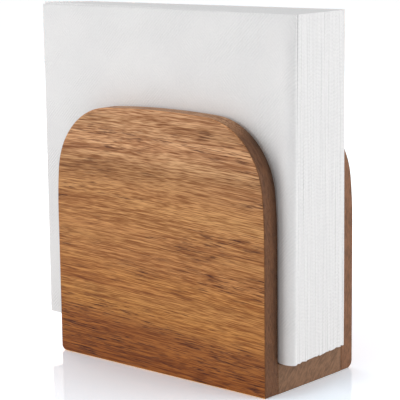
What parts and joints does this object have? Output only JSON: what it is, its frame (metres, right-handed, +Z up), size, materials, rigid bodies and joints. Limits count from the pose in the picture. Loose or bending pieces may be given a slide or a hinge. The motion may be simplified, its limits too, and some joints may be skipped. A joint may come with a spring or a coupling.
{
  "type": "napkin holder",
  "caption": "Wooden napkin holder: rounded upright boards dowelled to a base board, filled with a thick stack of folded paper napkins that lift out at the top.",
  "frame": {"origin": "centre of the holder's underside, on the table, midway between the front and back boards", "axes": "+Z up, +X along the boards to the right as seen from the front, +Y from the front board to the back board"},
  "size_m": [0.1738, 0.071, 0.1843],
  "materials": {
    "wood": "oiled acacia, satin",
    "dowel_wood": "plain beech, matt",
    "paper": "soft embossed tissue, matt"
  },
  "bodies": {
    "holder": {"back_board": "wood", "back_dowel_left": "dowel_wood", "back_dowel_middle": "dowel_wood", "back_dowel_right": "dowel_wood", "base_board": "wood", "front_board": "wood", "front_dowel_left": "dowel_wood", "front_dowel_middle": "dowel_wood", "front_dowel_right": "dowel_wood"},
    "front_napkin": {"napkin_01": "paper"},
    "napkin_stack": {"napkin_02": "paper", "napkin_03": "paper", "napkin_04": "paper", "napkin_05": "paper", "napkin_06": "paper", "napkin_07": "paper", "napkin_08": "paper", "napkin_09": "paper", "napkin_10": "paper", "napkin_11": "paper", "napkin_12": "paper", "napkin_13": "paper", "napkin_14": "paper", "napkin_15": "paper", "napkin_16": "paper", "napkin_17": "paper", "napkin_18": "paper", "napkin_19": "paper", "napkin_20": "paper", "napkin_21": "paper", "napkin_22": "paper", "napkin_23": "paper", "napkin_24": "paper", "napkin_25": "paper", "napkin_26": "paper", "napkin_27": "paper", "napkin_28": "paper", "napkin_29": "paper", "napkin_30": "paper", "napkin_31": "paper", "napkin_32": "paper"}
  },
  "joints": [
    {"name": "front_napkin_lift", "type": "slide", "parent": "holder", "child": "front_napkin", "axis": [0, 0, 1], "range_m": [0, 0.18]},
    {"name": "napkin_stack_lift", "type": "slide", "parent": "holder", "child": "napkin_stack", "axis": [0, 0, 1], "range_m": [0, 0.15]}
  ]
}
